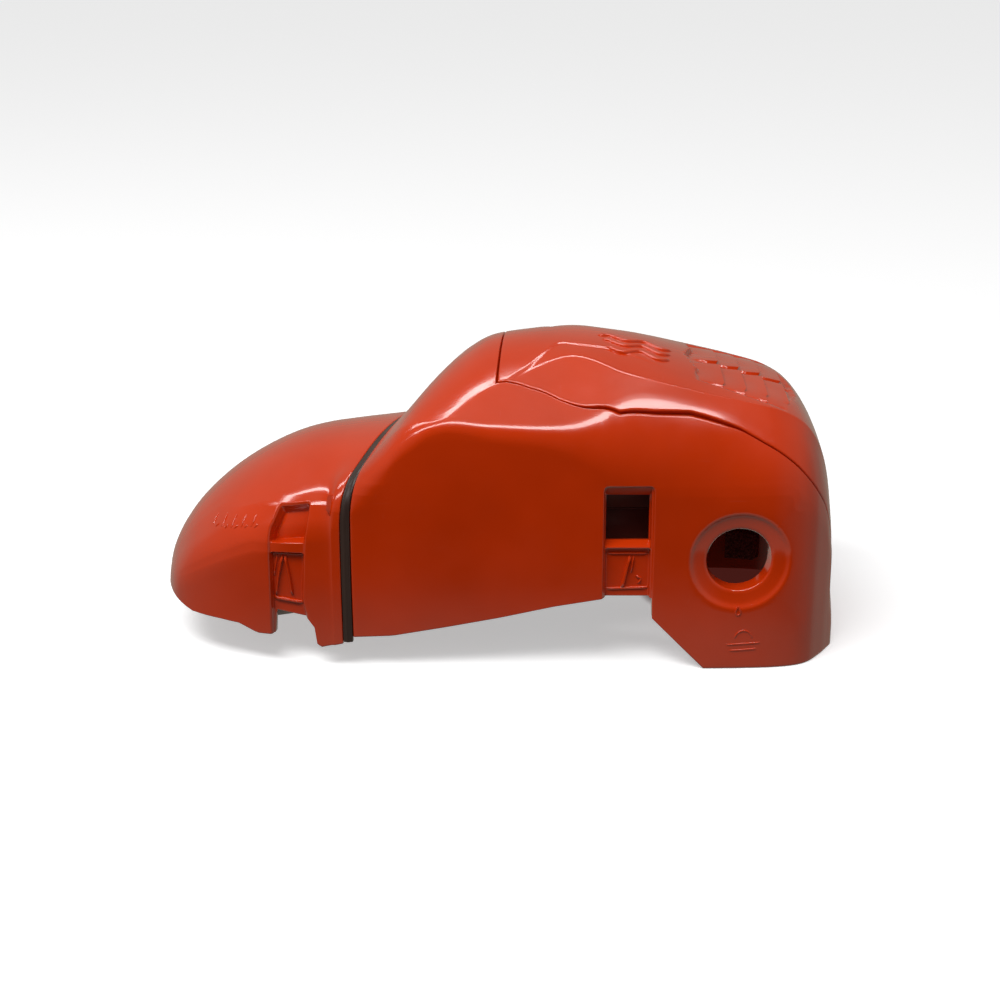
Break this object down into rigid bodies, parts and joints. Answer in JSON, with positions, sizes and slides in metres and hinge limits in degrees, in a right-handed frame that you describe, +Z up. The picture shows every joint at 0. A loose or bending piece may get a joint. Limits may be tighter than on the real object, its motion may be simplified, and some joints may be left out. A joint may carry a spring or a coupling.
{
  "type": "air filter housing",
  "caption": "Glossy clip-on engine cover in two shells joined at a rubber seam, with a louvred top panel, purge-bulb port, bulkhead, winter shutter, heat shield and slide-out air filter.",
  "frame": {"origin": "under the middle of the outer box, on the plane the skirts stand on", "axes": "+Z up, +X towards the tail of the filter hood, the wall with the purge-bulb port faces -Y"},
  "size_m": [0.296, 0.122, 0.1339],
  "materials": {
    "gloss_cover": "glossy",
    "gloss_cover_front": "glossy",
    "gloss_panel": "glossy",
    "shutter_plastic": "satin",
    "seal_rubber": "satin",
    "grommet_rubber": "matt",
    "gasket_rubber": "matt",
    "frame_plastic": "fine grain",
    "bulkhead_plastic": "fine grain",
    "filter_plastic": "satin",
    "spring_steel": "oiled",
    "screw_steel": "zinc",
    "washer_steel": "plain",
    "rivet_steel": "plain",
    "shield_aluminium": "dull rolled",
    "shield_rivet": "plain",
    "filter_mesh": "woven felt",
    "pad_foam": "open foam"
  },
  "bodies": {
    "cover": {"filter_hood": "gloss_cover", "cylinder_hood": "gloss_cover_front", "seam_seal": "seal_rubber", "seam_frame": "frame_plastic", "top_panel": "gloss_panel", "panel_push_nuts": "spring_steel", "bulkhead": "bulkhead_plastic", "bulkhead_screws": "screw_steel", "shutter_washer": "washer_steel", "shutter_rivet": "rivet_steel", "heat_shield": "shield_aluminium", "heat_shield_rivets": "shield_rivet", "hold_down_pad": "pad_foam", "skirt_pads": "pad_foam"},
    "shutter": {"winter_shutter": "shutter_plastic"},
    "filter": {"filter_backplate": "filter_plastic", "filter_frame_upper": "filter_plastic", "filter_frame_lower": "filter_plastic", "filter_media_upper": "filter_mesh", "filter_media_lower": "filter_mesh", "filter_gasket": "gasket_rubber", "intake_grommet": "grommet_rubber"}
  },
  "joints": [
    {"name": "filter_slide", "type": "slide", "parent": "cover", "child": "filter", "axis": [0, 0, -1], "range_m": [0, 0.11]},
    {"name": "shutter_turn", "type": "hinge", "parent": "cover", "child": "shutter", "pos_m": [-0.0143, 0, 0.101], "axis": [1, 0, 0], "range_deg": [0, 60]}
  ]
}
